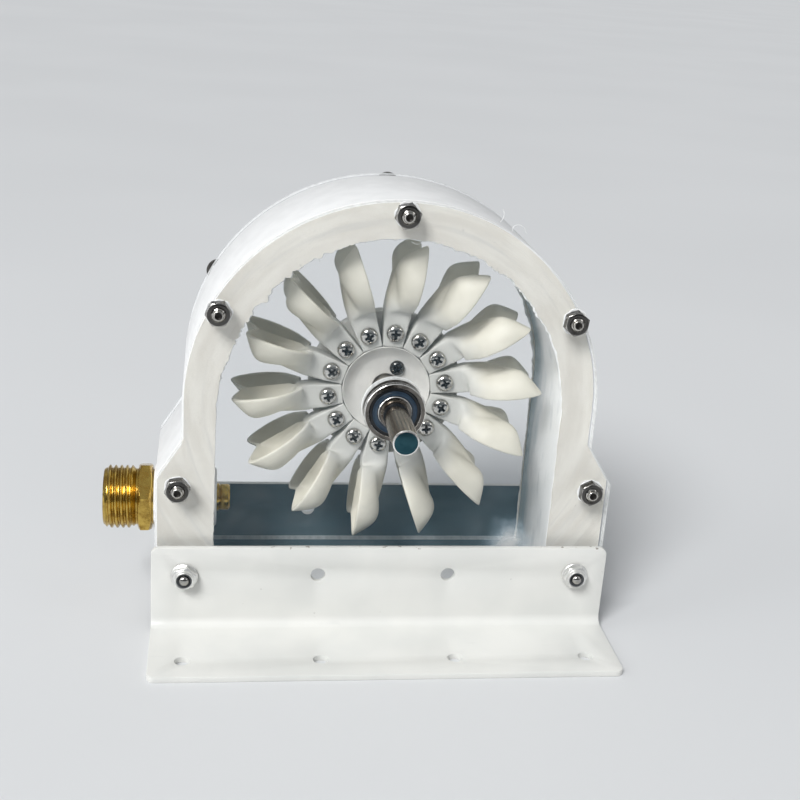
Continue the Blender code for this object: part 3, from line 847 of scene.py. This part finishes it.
def build_bolts(bright, dark, wear_and_highlight, screw, ball, lock_ring_shade, lip, head):
    """Every through bolt: plain nuts on the plate, locking nuts on the foot."""
    for index, (node, (x, z)) in enumerate(bolt_centres().items()):
        low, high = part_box(node)
        locking = node.startswith("foot")
        nut_face = low.y + NUT_T + STICKOUT
        spin = math.radians(NUT_TURNS[index])
        centre = (x, nut_face, z)
        parts = [nut(NUT_FLATS, LOCK_NUT_T if locking else NUT_T, BOLT_R + 0.02*MM)]
        if locking:
            parts += [washer(), lock_collar()]
        nuts = onto_axis(join(*parts), centre, FRONT, spin)
        # Sloped chamfer faces take the lighter steel and the rest the dark one: painted highlight
        # and painted shade chosen by slope.
        give_materials(nuts, lambda face, at: 1 if 0.15 < abs(face.normal.y) < 0.95 else 0)
        end = onto_axis(bolt_end(nut_face - low.y - 0.02*MM, BOLT_R,
                                 (1.35 if locking else 0.55)*MM, not locking), centre, FRONT)

        def steel_at(face, at):
            pit = at.y < low.y + 0.8*MM and math.hypot(at.x - x, at.z - z) < 1.1*MM
            return 3 if locking else 1 if pit else 0

        give_materials(end, steel_at)
        shank = onto_axis(rod(BOLT_R, high.y - HEAD_T - nut_face), centre, BACK)
        cap = copies(head, [facing((x, high.y - HEAD_T, z), BACK, spin * 2)])
        piece(node.replace("bolt", "nut"), nuts, [bright] if locking else [dark, wear_and_highlight])
        piece(node + "_screw", join(end, shank, cap), screw + [ball], [node])
        if not locking:
            smear = squeezed_ring(3.7*MM, 0.38*MM, 0.3, Vector((x, nut_face - 0.15*MM, z)), FRONT)
            piece(node + "_smear", smear, [lip], crease=80.0)
        else:
            # The ring in the gap round the bolt end is near black: painted shade.
            ring = spun([(1.75*MM, NUT_T - 0.3*MM), (2.45*MM, NUT_T - 0.3*MM),
                         (2.45*MM, NUT_T + 0.2*MM), (1.85*MM, NUT_T + 0.1*MM)], 40)
            piece(node + "_lock_ring", onto_axis(ring, centre, FRONT), [lock_ring_shade])


def build_bearings(chamfer_highlight_steel, race_shade_steel, seal, groove):
    """Two races with a rubber shield between them, and a snap ring's groove outside."""
    for name, direction in (("front_bearing", -1), ("back_bearing", 1)):
        low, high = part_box(name)
        width = high.y - low.y
        outer_r = (high.x - low.x) / 2
        start = Vector((0, high.y if direction < 0 else low.y, AXIS_Z))
        chamfer = 0.22*MM
        race, ring, band, root = 8.05*MM, 7*MM, 6.75*MM, 5.35*MM
        outer = spun([(race, 0.3*MM), (race, width - 0.25*MM), (race + 0.2*MM, width),
                      (outer_r - chamfer, width), (outer_r, width - chamfer),
                      (outer_r, width - 1.1*MM), (outer_r - 0.3*MM, width - 1.2*MM),
                      (outer_r - 0.3*MM, width - 1.7*MM), (outer_r, width - 1.8*MM),
                      (outer_r, chamfer), (outer_r - chamfer, 0), (race + 0.3*MM, 0)], 96)
        bore = SHAFT_R + 0.03*MM
        inner = spun([(bore, chamfer), (bore, width - 0.35*MM), (bore + 0.35*MM, width),
                      (root - 0.25*MM, width), (root - 0.05*MM, width - 0.2*MM),
                      (root - 0.05*MM, 0), (bore + 0.2*MM, 0)], 96)
        shield = spun([(root, 0.3*MM), (race - SLIVER, 0.3*MM),
                       (race - SLIVER, width - 0.6*MM), (race - 0.3*MM, width - 0.8*MM),
                       (ring + 0.2*MM, width - 0.8*MM), (ring, width - 0.3*MM),
                       (band + 0.05*MM, width - 0.22*MM), (band - 0.1*MM, width - 0.35*MM),
                       (root + 0.5*MM, width - 0.45*MM), (root + 0.2*MM, width - 0.3*MM),
                       (root, width - 0.35*MM)], 96)
        away = (0, direction, 0)
        races = onto_axis(join(outer, inner), start, away)

        # Sloped chamfers take the bright steel and flat faces the dark one: painted highlight and
        # painted shade chosen by slope.
        def race_material(face, at):
            sunk = abs(math.hypot(at.x, at.z - AXIS_Z) - outer_r + 0.25*MM) < 0.12*MM
            lean = abs(face.normal.y)
            return 2 if sunk and lean < 0.9 else 0 if 0.2 < lean < 0.95 else 1

        give_materials(races, race_material)
        piece(name + "_races", races, [chamfer_highlight_steel, race_shade_steel, groove], [name])
        onto_axis(shield, start, away)
        # The shield's sunk rings are near black: painted shade.
        give_materials(shield, lambda face, at: 0 if root + 0.3*MM <= math.hypot(
            at.x, at.z - AXIS_Z) <= ring else 1)
        piece(name + "_seal", shield, [seal, groove])


def build_shaft(steel, end_face, chamfer_highlight_steel):
    """The round shaft with its darker front end and a bright rim, partly bare steel and partly
    painted highlight.
    """
    length = shaft_high.y - shaft_low.y
    ease = 0.5*MM
    profile = [(0, 0), (SHAFT_R - ease, 0), (SHAFT_R - 0.1*MM, 0.25*MM),
               (SHAFT_R, ease), (SHAFT_R, length - ease), (SHAFT_R - 0.1*MM, length - 0.25*MM),
               (SHAFT_R - ease, length), (0, length)]
    bm = onto_axis(spun(profile, 96, False), (0, shaft_high.y, AXIS_Z), FRONT)
    # The chamfer at the front end takes the bright steel, partly a painted highlight.
    give_materials(bm, lambda face, at: 1 if at.y < shaft_low.y + SLIVER
                   else 2 if at.y < shaft_low.y + ease else 0)
    piece("steel_shaft", bm, [steel, end_face, chamfer_highlight_steel], ["shaft"], body="runner")


def helix_thread(length, pitch, major, depth, steps=64):
    """A real single-start thread along +Z, cut square at both ends."""
    turns = int(length / pitch) + 3
    bm = bmesh.new()
    profile = []
    for index in range(turns):
        base = (index - 1) * pitch
        for share, drop in ((0.0, 1.0), (0.1, 0.94), (0.38, 0.1), (0.46, 0.0), (0.56, 0.0),
                            (0.64, 0.1), (0.92, 0.94)):
            profile.append((major - depth * drop, base + share * pitch))
    profile.append((major - depth, (turns - 1) * pitch))
    chain = [bm.verts.new((radius, 0, height)) for radius, height in profile]
    edges = [bm.edges.new(pair) for pair in zip(chain, chain[1:])]
    bmesh.ops.spin(bm, geom=chain + edges, axis=(0, 0, 1), cent=(0, 0, 0),
                   dvec=(0, 0, pitch / steps), angle=math.tau, steps=steps, use_merge=False,
                   use_duplicate=False)
    bmesh.ops.remove_doubles(bm, verts=bm.verts, dist=1e-6)
    bisect(bm, (0, 0, 0), (0, 0, -1), True)
    bisect(bm, (0, 0, length), (0, 0, 1), True)
    return bm


def close_thread(bm, bore, ease):
    """Chamfers both ends of a thread and closes it round its bore."""
    heights = [vert.co.z for vert in bm.verts]
    low, high = min(heights), max(heights)
    major = max(math.hypot(vert.co.x, vert.co.y) for vert in bm.verts)
    draw_in(bm, lambda at: major - ease + min(at.z - low, high - at.z) * 0.9)
    rims = []
    for height in (low, high):
        edges = [edge for edge in bm.edges if edge.is_boundary
                 and abs(edge.verts[0].co.z - height) < SLIVER]
        grown = bmesh.ops.extrude_edge_only(bm, edges=edges)["geom"]
        verts = [item for item in grown if isinstance(item, bmesh.types.BMVert)]
        for vert in verts:
            radius = math.hypot(vert.co.x, vert.co.y)
            vert.co.xy *= bore / radius
        rims.append([item for item in grown if isinstance(item, bmesh.types.BMEdge)
                     and item.is_boundary])
    bmesh.ops.bridge_loops(bm, edges=rims[0] + rims[1])
    return bm


def squeezed_ring(radius, thick, flat, place, direction):
    """A bead of sealant squeezed out round something, its rim uneven."""
    ring = spun([(radius + thick * math.cos(math.tau * step / 12),
                  thick * flat * math.sin(math.tau * step / 12)) for step in range(12)], 96)
    for vert in ring.verts:
        outward = Vector((vert.co.x, vert.co.y, 0)).normalized()
        swell = noise.noise((vert.co + place) / (2.2*MM))
        vert.co += outward * (0.55*MM * swell)
    return onto_axis(ring, place, direction)


def build_inlet(gold, cement):
    """The threaded brass fitting, the nozzle inside it, and the cement round both."""
    def along(bm, x, spin=0.0):
        return onto_axis(bm, (x, RUNNER_Y, INLET_Z), INWARD, spin)

    thread = close_thread(helix_thread(THREAD_START - THREAD_END, PIPE_PITCH, THREAD_R,
                                       THREAD_DEPTH), INLET_BORE_R, 1.3*MM)
    neck_r = THREAD_R - THREAD_DEPTH - 0.15*MM
    reach = HEX_START - THREAD_START
    neck = spun([(INLET_BORE_R, 0), (neck_r, 0), (neck_r, reach), (INLET_BORE_R, reach)], 64)
    hexagon = nut(HEX_FLATS, HEX_END - HEX_START, INLET_BORE_R)
    reach = SPIGOT_END - HEX_END
    spigot = spun([(INLET_BORE_R, 0), (SPIGOT_R, 0), (SPIGOT_R, reach - 0.5*MM),
                   (SPIGOT_R - 0.5*MM, reach), (INLET_BORE_R, reach)], 64)
    piece("threaded_inlet", join(along(thread, THREAD_END), along(neck, THREAD_START),
                                 along(hexagon, HEX_START, HEX_TURN), along(spigot, HEX_END)),
          [gold], ["inlet_fitting"], crease=28.0)

    tip_low, tip_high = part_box("nozzle")
    length = tip_high.x - tip_low.x
    profile = [(5*MM, 0), (7.5*MM, 0), (7.5*MM, 2.5*MM), (7.1*MM, 2.9*MM),
               (NOZZLE_R + 0.25*MM, 2.9*MM), (NOZZLE_R + 0.25*MM, 3.7*MM),
               (NOZZLE_R - 0.1*MM, 3.9*MM), (NOZZLE_R - 0.1*MM, 4.2*MM),
               (NOZZLE_R, 4.35*MM), (NOZZLE_R, length - 0.5*MM),
               (NOZZLE_R - 0.45*MM, length), (NOZZLE_BORE_R, length),
               (NOZZLE_BORE_R, length - 2*MM)]
    piece("jet_nozzle", along(spun(profile, 64), tip_low.x), [gold], ["nozzle"])

    for name, x, radius, thick in (("inlet_cement", -BASE_HALF - 0.1*MM, 9.6*MM, 0.9*MM),
                                   ("nozzle_cement", -CHAMBER_R + 0.2*MM, 8.6*MM, 1*MM)):
        ring = squeezed_ring(radius, thick, 1.0, Vector((x, RUNNER_Y, INLET_Z)), INWARD)
        piece(name, ring, [cement], crease=80.0)


def cup_half_width(along):
    """Half the opening's width, from the narrow root over the belly to the tip."""
    return CUP_HALF_W * (1 - 0.85 * (1 - along) ** 4 - 0.15 * along ** 6)


def cup_end(side):
    """How far out the rim runs: shallow notch at the ridge, then a rounded lobe."""
    rise = math.sin(math.pi / 2 * min(1.0, side / LOBE_SIDE)) ** 1.5
    corner = max(0.0, side - LOBE_SIDE) / (1 - LOBE_SIDE)
    return CUP_NOTCH + (CUP_TIP - CUP_NOTCH) * rise - CORNER_DROP * corner ** 2


def blended(first, second, power):
    """Follows the greater of two sizes for a positive power and the lesser for a negative
    one, and rounds the corner where they cross."""
    least = 1e-6
    return (max(first, least) ** power + max(second, least) ** power) ** (1 / power)


def spine_depth(along, width):
    """How deep the stem's spine stands behind the rim."""
    fading = max(0.0, 1 - (along / SPINE_END) ** 3.2) ** 0.7
    section = max(0.0, 1 - abs(width / SPINE_HALF) ** 3) ** (1 / 3)
    return SPINE_DEPTH * (0.93 + 0.07 * min(1.0, along / 0.2)) * fading * section


def cup_point(along, across, outside):
    """A point of the bucket's skin: X outward, Y across, Z towards its open side. The
    outside stands a wall's thickness off the hollow all round."""
    side = abs(across)
    out = CUP_ROOT + (cup_end(side) - CUP_ROOT) * along
    width = across * cup_half_width(along)
    rim = RIM_LIFT - ROOT_DIP * (1 - along) ** 4
    cup = math.sqrt(max(0.0, 4 * side * (1 - side)))
    rise = 0.53 + 0.47 * along / CUP_DEEPEST
    end = (max(0.0, 1 - along) / (1 - CUP_DEEPEST)) ** 0.88
    if not outside:
        belly = blended(min(rise, (along / 0.3) ** 0.7), end, -4.5)
        return out, width, rim - (CUP_DEPTH - CUP_WALL) * belly * cup
    if side < 0.5:
        cup = 0.66 + 0.34 * math.sin(math.pi * side)
    cups = CUP_DEPTH * blended(rise, end, -4.5) * cup
    return (out + CUP_WALL * (2 * along - 1), width + CUP_WALL * across,
            rim - blended(cups, spine_depth(along, width), 4))


def cup_skin(bm, outside):
    """A grid pressed into one skin of the double cup."""
    made = bmesh.ops.create_grid(bm, x_segments=CUP_ROWS, y_segments=CUP_COLUMNS, size=1.0)
    for vert in made["verts"]:
        along = 0.5 + 0.5 * math.sin(math.pi / 2 * vert.co.x)
        across = math.sin(math.pi * (abs(vert.co.y) - 0.5)) * 0.5 + 0.5
        across = math.copysign(across, vert.co.y) if abs(vert.co.y) > 1e-6 else 0.0
        vert.co = cup_point(along, across, outside)


def bucket_pattern():
    """Cups and stem blended into one printed body."""
    bm = bmesh.new()
    cup_skin(bm, False)
    cup_skin(bm, True)
    bmesh.ops.bridge_loops(bm, edges=[edge for edge in bm.edges if edge.is_boundary])
    narrow = STEM_IN * math.tan(math.pi / BUCKETS) - STEM_GAP
    stem = [(STEM_IN, -narrow), (STEM_FLARED, -STEM_HALF), (STEM_END, -0.75 * STEM_HALF),
            (STEM_END, 0.3 * STEM_HALF), (STEM_FLARED + 1.5*MM, 0.9 * STEM_HALF),
            (CUP_ROOT - 1*MM, 0.95 * STEM_HALF), (STEM_IN, narrow)]
    shank = thicken(flat_face([stem], lambda x, z: (x, -STEM_T / 2, z)), (0, STEM_T, 0))
    mesh = mesh_of(join(bm, shank), "bucket_pattern")
    body = settled(mesh, ("REMESH", {"mode": "VOXEL", "voxel_size": 0.32*MM}),
                   ("SMOOTH", {"factor": 0.5, "iterations": 4}))
    bm = bmesh.new()
    bm.from_mesh(body)
    for height, low, high, rounds in ((1.6*MM, 22.5*MM, 35*MM, 40), (3*MM, 21.5*MM, 36*MM, 14),
                                      (9*MM, 20.5*MM, 37*MM, 4)):
        neck = [vert for vert in bm.verts if low < vert.co.x < high and vert.co.z < height]
        for _ in range(rounds):
            bmesh.ops.smooth_vert(bm, verts=neck, factor=0.5, use_axis_x=True,
                                  use_axis_y=True, use_axis_z=True)
    return settled(mesh_of(bm, "bucket_pattern"), ("DECIMATE", {"ratio": 0.28}))


def bucket_angle(index):
    """Where a bucket stands round the wheel, in degrees."""
    return FIRST_BUCKET - 360.0 / BUCKETS * index


def build_buckets(ivory):
    """Fourteen copies of one bucket, each turned to its own place."""
    pattern = bucket_pattern()
    for index in range(BUCKETS):
        angle = math.radians(bucket_angle(index))
        node = "bucket_%02d" % (index + 1)
        mesh = pattern.copy()
        mesh.transform(Matrix.Translation((0, RUNNER_Y, AXIS_Z))
                       @ Matrix.Rotation(-angle, 4, "Y") @ Matrix.Rotation(math.pi, 4, "X"))
        piece("cup_" + node, mesh, [ivory], [node], crease=60.0, body="runner")


def build_hub(grey, steel, screw, dull, pan, small_pan):
    """The dished hub with its screws, and the coupling and nuts behind it."""
    stem_front = RUNNER_Y - STEM_T / 2
    hub_front = hub_low.y
    disc_front = RUNNER_Y + STEM_T / 2 + SLIVER
    radius = (hub_high.x - hub_low.x) / 2
    bore = SHAFT_R + 0.1*MM
    boss_r = STEM_IN - SLIVER
    centre = Vector((0, hub_high.y, AXIS_Z))
    rise = hub_high.y - hub_front
    back = hub_high.y - disc_front
    brim = hub_front - stem_front - 0.15*MM
    profile = [(bore, 0), (radius - 0.4*MM, 0), (radius, 0.4*MM), (radius, back - 0.4*MM),
               (radius - 0.4*MM, back), (boss_r + 0.5*MM, back), (boss_r, back + 0.5*MM),
               (boss_r, rise + brim - 0.2*MM), (boss_r - 0.2*MM, rise + brim)]
    for step in range(1, 9):
        share = 1 - step / 8
        profile.append((DISH_R + (boss_r - 0.2*MM - DISH_R) * share, rise + brim * share ** 1.8))
    profile += [(bore + 0.4*MM, rise), (bore, rise - 0.4*MM)]
    piece("printed_hub", onto_axis(spun(profile, 112), centre, FRONT), [grey],
          ["hub_disc"], body="runner")

    places = [facing(round_axis(bucket_angle(index), SCREW_CIRCLE, stem_front), FRONT,
                     math.radians(index * 37.0)) for index in range(BUCKETS)]
    piece("bucket_screws", copies(pan, places), screw, body="runner")
    # The hub screws take the dark steel as painted shade.
    places = [facing(round_axis(angle, HUB_SCREW_CIRCLE, hub_front), FRONT, 0.4)
              for angle in HUB_SCREWS_AT]
    piece("hub_screws", copies(small_pan, places), [dull] + screw[1:], body="runner")

    low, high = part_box("flange_coupling")
    outer = (high.x - low.x) / 2
    depth = high.y - low.y
    ease = 0.35*MM
    boss = COUPLING_BOSS_R
    coupling = spun([(SHAFT_R + 0.03*MM, 0), (outer - ease, 0), (outer, ease),
                     (outer, COUPLING_T - ease), (outer - ease, COUPLING_T),
                     (boss + 0.4*MM, COUPLING_T), (boss, COUPLING_T + 0.4*MM),
                     (boss, depth - ease), (boss - ease, depth), (SHAFT_R + 0.03*MM, depth)], 80)
    piece("grip_coupling", onto_axis(coupling, (0, low.y, AXIS_Z), BACK), [steel],
          ["flange_coupling"], body="runner")
    nuts = [onto_axis(join(nut(SMALL_NUT_FLATS, SMALL_NUT_T, 1.4*MM), bolt_end(3.2*MM, 1.45*MM)),
                      round_axis(bucket_angle(index), SCREW_CIRCLE, hub_high.y), BACK,
                      math.radians(bucket_angle(index))) for index in range(BUCKETS)]
    piece("bucket_nuts", join(*nuts), [steel], body="runner")


def build_hairs(lip):
    """Fine strings of plastic and sealant left on the casing's upper right and inside."""
    outer, bead = ARCH_R - 0.3*MM, front_high.y + 0.8*MM
    for name, angle, radius, y, lean, reach, curl in (
            ("string_outer_1", 60.2, outer, shell_low.y + 14*MM, 0.9, 4.2*MM, 0.5),
            ("string_outer_2", 56.5, outer, shell_low.y + 10*MM, 1.9, 4.4*MM, -1.9),
            ("string_inner_1", 84.5, 53.9*MM, bead, -1.1, 3*MM, -1.6),
            ("string_inner_2", 77.5, 53.8*MM, bead, -1.5, 1.8*MM, 0.4),
            ("string_inner_3", 118.0, 53*MM, bead, -2.2, 1.6*MM, 0.8)):
        start = round_axis(angle, radius, y)
        points = []
        for share in (index / 8 for index in range(9)):
            turn = lean + curl * share ** 2
            points.append(start + share * Vector((reach * math.cos(turn), 0.4*MM,
                                                  reach * math.sin(turn))))
        strand(name, points, 0.09*MM, lip)


def build_stage():
    """A pale floor, one soft sun, two panels and a dim room."""
    bm = bmesh.new()
    bmesh.ops.create_grid(bm, x_segments=1, y_segments=1, size=30.0)
    floor = placed("floor", mesh_of(bm, "floor"))
    floor.data.materials.append(floor_paint())

    def lamp(name, kind, place, strength, settings):
        light = bpy.data.lights.new(name, kind)
        light.energy = strength
        for key, value in settings.items():
            setattr(light, key, value)
        made = placed(name, light)
        made.location = place
        aim = Vector((0, RUNNER_Y, AXIS_Z)) - Vector(place)
        made.rotation_euler = aim.to_track_quat("-Z", "Y").to_euler()

    lamp("key", "SUN", (-0.64, -0.82, 1.10), 2.7, {"angle": math.radians(24)})
    lamp("left_panel", "AREA", (-0.75, -0.15, 0.35), 1.25, {"size": 0.35})
    lamp("right_panel", "AREA", (0.8, -0.45, 0.55), 0.5, {"size": 0.3})
    world = bpy.data.worlds.new("studio")
    world.use_nodes = True
    room = Weave(world.node_tree)
    way = room.node("TexCoord", output="Generated")
    height = room.node("SeparateXYZ", None, {"Vector": way}, "Z")
    depth = room.node("SeparateXYZ", None, {"Vector": way}, "Y")
    glow = (height + depth * 0.35).between(-0.35, 0.75)
    backdrop = world.node_tree.nodes["Background"]
    room.feed(backdrop.inputs["Color"], room.mix(glow, (0.085, 0.092, 0.10), (0.39, 0.40, 0.41)))
    bpy.context.scene.world = world
    bpy.context.scene.view_settings.view_transform = "Standard"
    bpy.context.scene.view_settings.look = "None"


def build_camera():
    """The photograph's view: where the lens stood, measured from the wheel's centre line
    at the front plate's face, and how it was turned."""
    stood = Vector((-56.77*MM, -368.23*MM, 137.44*MM))
    azimuth, elevation, roll = (math.radians(turn) for turn in (9.0219, 19.7956, 4.0948))
    forward = Vector((math.sin(azimuth) * math.cos(elevation),
                      math.cos(azimuth) * math.cos(elevation), -math.sin(elevation)))
    level = Vector((math.cos(azimuth), -math.sin(azimuth), 0))
    upright = level.cross(forward)
    right = level * math.cos(roll) + upright * math.sin(roll)
    up = upright * math.cos(roll) - level * math.sin(roll)
    lens = bpy.data.cameras.new("camera")
    lens.sensor_width = 36.0
    lens.lens = 57.55
    lens.clip_start = 0.01
    camera = placed("camera", lens)
    camera.matrix_world = Matrix.Translation(Vector((0, front_low.y, AXIS_Z)) + stood) @ Matrix(
        (right, up, -forward)).transposed().to_4x4()
    bpy.context.scene.camera = camera


build_camera()
build_stage()
white = printed("white_print", (0.82, 0.825, 0.825), (0.775, 0.78, 0.78), 0.45, 0.25)
ivory = printed("ivory_print", (0.735, 0.71, 0.615), (0.68, 0.655, 0.565), 0.5, 0.2,
                (0.59, 0.59, 0.555))
grey = printed("pale_grey_print", (0.75, 0.74, 0.70), (0.67, 0.66, 0.625), 0.5, 0.2)
cream = sealant()
lip = clouded("sealant_lip", (0.88, 0.885, 0.88), (0.94, 0.95, 0.95), 0.4, 2, 0.7, 0.15,
              blur=0.1, strength=0.7)
clear = clear_sheet()
edge = sheet_edge()
front_foot_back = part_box("front_foot")[1]
back_foot_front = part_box("back_foot")[0]
coat = powder_coat(front_foot_back.z)
bare = foot_face_shade()
nickel = metal("bright_nickel", (0.88, 0.88, 0.86), (0.74, 0.735, 0.72), 0.34)
# Dark steel and its lighter chamfer copy: painted shade and painted highlight; the dark steel is
# also painted shade on the hub screws.
painted_shade_steel = metal("steel_painted_shade", (0.095, 0.092, 0.088), (0.055, 0.053, 0.05), 0.16)
nut_chamfer_highlight = metal("nut_chamfer_painted_highlight", (0.45, 0.44, 0.42), (0.20, 0.195, 0.185), 0.2)
ball = metal("polished_bolt_end", (0.42, 0.41, 0.39), (0.22, 0.215, 0.205), 0.12)
stainless = metal("stainless_screw", (0.56, 0.545, 0.515), (0.30, 0.285, 0.265), 0.13)
flank = metal("shaded_flank_steel", (0.10, 0.096, 0.09), (0.055, 0.052, 0.05), 0.28)
shadow_steel = metal("recess_steel", (0.035, 0.033, 0.031), (0.018, 0.017, 0.016), 0.4)
# Dark race steel and bright chamfer steel: painted shade and painted highlight.
race_shade_steel = metal("race_painted_shade", (0.17, 0.158, 0.145), (0.10, 0.093, 0.085), 0.1, 0.12)
chamfer_highlight_steel = metal("chamfer_painted_highlight", (0.90, 0.89, 0.87), (0.74, 0.73, 0.71), 0.2, 0.1)
screw_steels = [stainless, shadow_steel, flank]
# Near black for the locking nuts' rings: painted shade.
lock_ring_shade = printed("lock_ring_painted_shade", (0.055, 0.06, 0.065), (0.035, 0.038, 0.042), 0.4, 0.5)
gold = brass()
rubber = clouded("blue_black_seal", (0.011, 0.027, 0.050), (0.023, 0.046, 0.074), 0.32,
                 2.4, 0.4, 0.02)
# Near black for the bearings' grooves and sunk rings: painted shade.
groove = clouded("groove_painted_shade", (0.004, 0.005, 0.006), (0.010, 0.012, 0.014), 0.32, 2.4, 0.4, 0.02)
blued = clouded("blued_shaft_end", (0.024, 0.072, 0.092), (0.034, 0.092, 0.114), 0.3, 2.5,
                0.3, 0.01, 1.0)
pan = screw_mesh(SCREW_HEAD_R, SCREW_HEAD_T, 1.3*MM)
small_pan = screw_mesh(2.45*MM, 1.8*MM, 1.2*MM)
bolt_head = screw_mesh(HEAD_R, HEAD_T, 1.6*MM)

build_shell(white, wall_with_painted_shade())
build_plate("front_sheet", "front_plate", front_low.y, clear, edge)
build_plate("back_sheet", "back_plate", back_low.y, clear, edge)
bead = shell_low.y - front_high.y - 2 * SLIVER
build_sealant("front_bead", "front_sealant", front_high.y + SLIVER, bead, True, cream, lip)
build_sealant("back_bead", "back_sealant", shell_high.y + SLIVER, bead, False, cream, lip)
build_foot("front_angle", "front_foot", front_foot_back.y, -1, coat, bare)
build_foot("back_angle", "back_foot", back_foot_front.y, 1, coat, bare)
build_bolts(nickel, painted_shade_steel, nut_chamfer_highlight, screw_steels, ball, lock_ring_shade, lip, bolt_head)
build_bearings(chamfer_highlight_steel, race_shade_steel, rubber, groove)
build_shaft(drawn_shaft(), blued, chamfer_highlight_steel)
build_inlet(gold, lip)
build_buckets(ivory)
build_hub(grey, nickel, screw_steels, painted_shade_steel, pan, small_pan)
build_hairs(lip)
